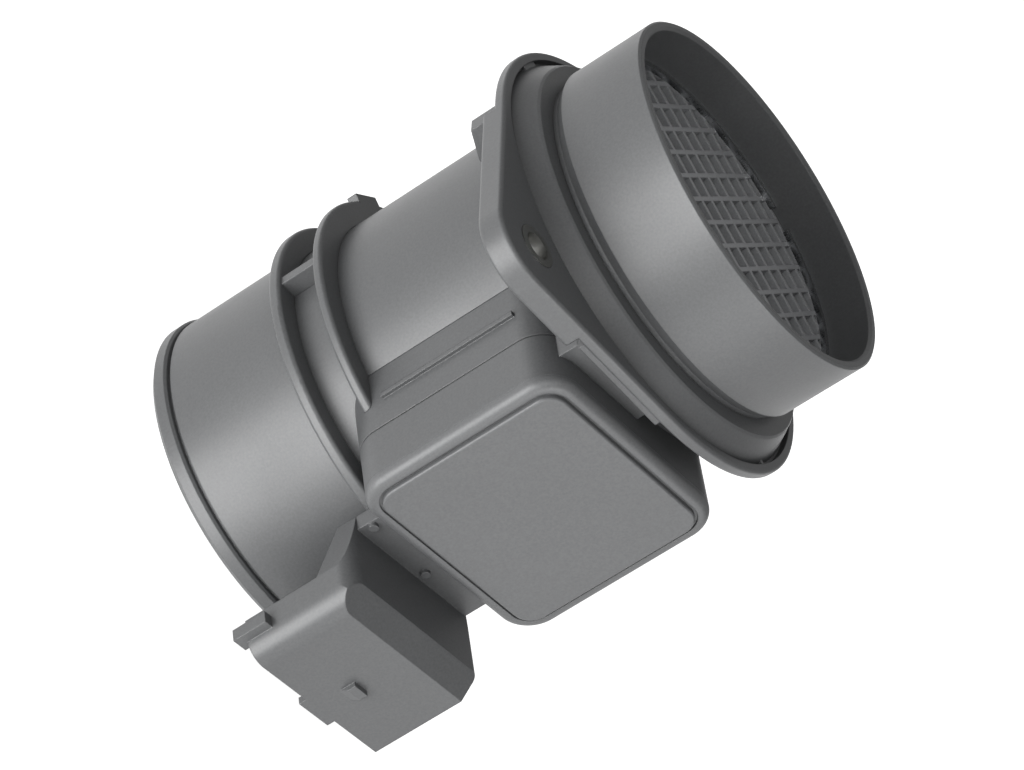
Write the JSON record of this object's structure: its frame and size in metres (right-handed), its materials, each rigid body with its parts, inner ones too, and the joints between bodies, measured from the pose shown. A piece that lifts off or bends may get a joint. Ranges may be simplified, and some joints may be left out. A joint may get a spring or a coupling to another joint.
{
  "type": "mass airflow sensor",
  "caption": "Duct-mounted mass airflow sensor: round tube with an inlet grid, two-bolt flange, fins, lidded electronics case, plug connector and a probe in the bore.",
  "frame": {"origin": "on the duct axis, at the outlet end face", "axes": "+Z along the duct axis from the outlet end to the inlet mouth; the lid of the electronics case faces -Y; +X completes a right-handed frame"},
  "size_m": [0.1214, 0.121, 0.1327],
  "materials": {
    "housing": "satin",
    "lid": "satin",
    "grid": "satin",
    "probe": "satin",
    "spring_steel": "satin",
    "sleeve": "satin",
    "terminal": "tin plated, satin",
    "seal": "matte",
    "adhesive": "matte",
    "gel": "gloss",
    "aluminium": "satin",
    "ceramic": "satin",
    "film": "gloss",
    "component": "matte",
    "capacitor": "satin"
  },
  "bodies": {
    "root": {"tube_body": "housing", "inlet_mouth": "housing", "mounting_flange": "housing", "tube_fins": "housing", "case_pedestal": "housing", "connector_housing": "housing", "inlet_grid": "grid", "grid_snap_ring": "spring_steel", "electronics_case": "housing", "case_lid": "lid", "lid_seal": "adhesive", "case_o_ring": "seal", "protective_gel": "gel", "bypass_housing": "probe", "bypass_cover": "probe", "sensing_tongue": "ceramic", "hot_film": "film", "air_thermistor": "component", "flange_sleeve_near": "sleeve", "flange_sleeve_far": "sleeve", "base_plate": "aluminium", "circuit_board": "ceramic", "measuring_chip": "component", "power_transistor": "component", "capacitors": "capacitor", "resistors": "component", "bond_ribbons": "aluminium", "terminal_1": "terminal", "terminal_2": "terminal", "terminal_3": "terminal", "terminal_4": "terminal", "terminal_5": "terminal", "terminal_6": "terminal"}
  },
  "joints": []
}
